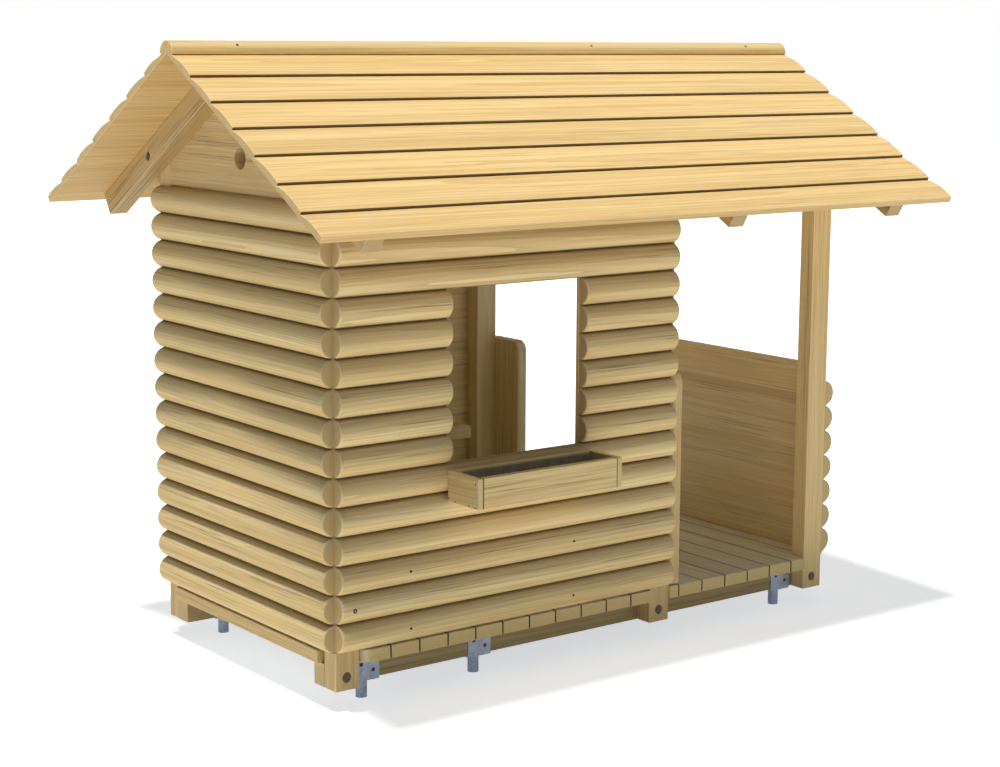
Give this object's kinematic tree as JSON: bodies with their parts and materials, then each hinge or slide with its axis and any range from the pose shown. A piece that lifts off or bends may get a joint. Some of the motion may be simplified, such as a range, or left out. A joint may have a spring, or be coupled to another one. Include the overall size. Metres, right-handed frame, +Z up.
{
  "type": "log cabin with veranda",
  "caption": "Small timber play cabin of half-round logs with a pitched board roof, a window with a planter, and an open veranda.",
  "frame": {"origin": "centre of the building's outline, on the ground at the tips of the anchor pipes", "axes": "+X along the front from the closed gable to the veranda, +Y from the window side to the back, +Z up"},
  "size_m": [2.8546, 1.9214, 2.2332],
  "materials": {
    "roof_boards": "satin",
    "ridge_log": "satin",
    "half_logs": "satin",
    "deck_boards": "satin",
    "frame_timber": "satin",
    "planed_boards": "satin",
    "galvanised_steel": "matte",
    "planter_liner": "matte"
  },
  "bodies": {
    "root": {"back_wall_logs": "half_logs", "bench_cleat": "planed_boards", "bench_seat": "planed_boards", "cabin_deck": "deck_boards", "doorway_panel_back": "planed_boards", "doorway_panel_front": "planed_boards", "front_wall_left_logs": "half_logs", "front_wall_lower_logs": "half_logs", "front_wall_right_logs": "half_logs", "front_wall_upper_logs": "half_logs", "gable_plank_lowest": "planed_boards", "gable_plank_second": "planed_boards", "gable_planks_upper": "planed_boards", "gable_wall_logs": "half_logs", "ground_anchor_back_left": "galvanised_steel", "ground_anchor_back_middle": "galvanised_steel", "ground_anchor_back_right": "galvanised_steel", "ground_anchor_front_left": "galvanised_steel", "ground_anchor_front_middle": "galvanised_steel", "ground_anchor_front_right": "galvanised_steel", "joist_back": "frame_timber", "joist_front": "frame_timber", "low_wall_logs": "half_logs", "low_wall_rail": "planed_boards", "planter_base": "planed_boards", "planter_end_boards": "planed_boards", "planter_liner": "planter_liner", "planter_long_boards": "planed_boards", "post_back_left": "frame_timber", "post_back_middle": "frame_timber", "post_back_right": "frame_timber", "post_front_left": "frame_timber", "post_front_middle": "frame_timber", "post_front_right": "frame_timber", "rafter_back_left": "frame_timber", "rafter_back_middle": "frame_timber", "rafter_back_right": "frame_timber", "rafter_front_left": "frame_timber", "rafter_front_middle": "frame_timber", "rafter_front_right": "frame_timber", "ridge_cap": "ridge_log", "roof_boards_back": "roof_boards", "roof_boards_front": "roof_boards", "veranda_deck": "deck_boards", "veranda_gable_planks": "planed_boards", "window_battens": "planed_boards"}
  },
  "joints": []
}
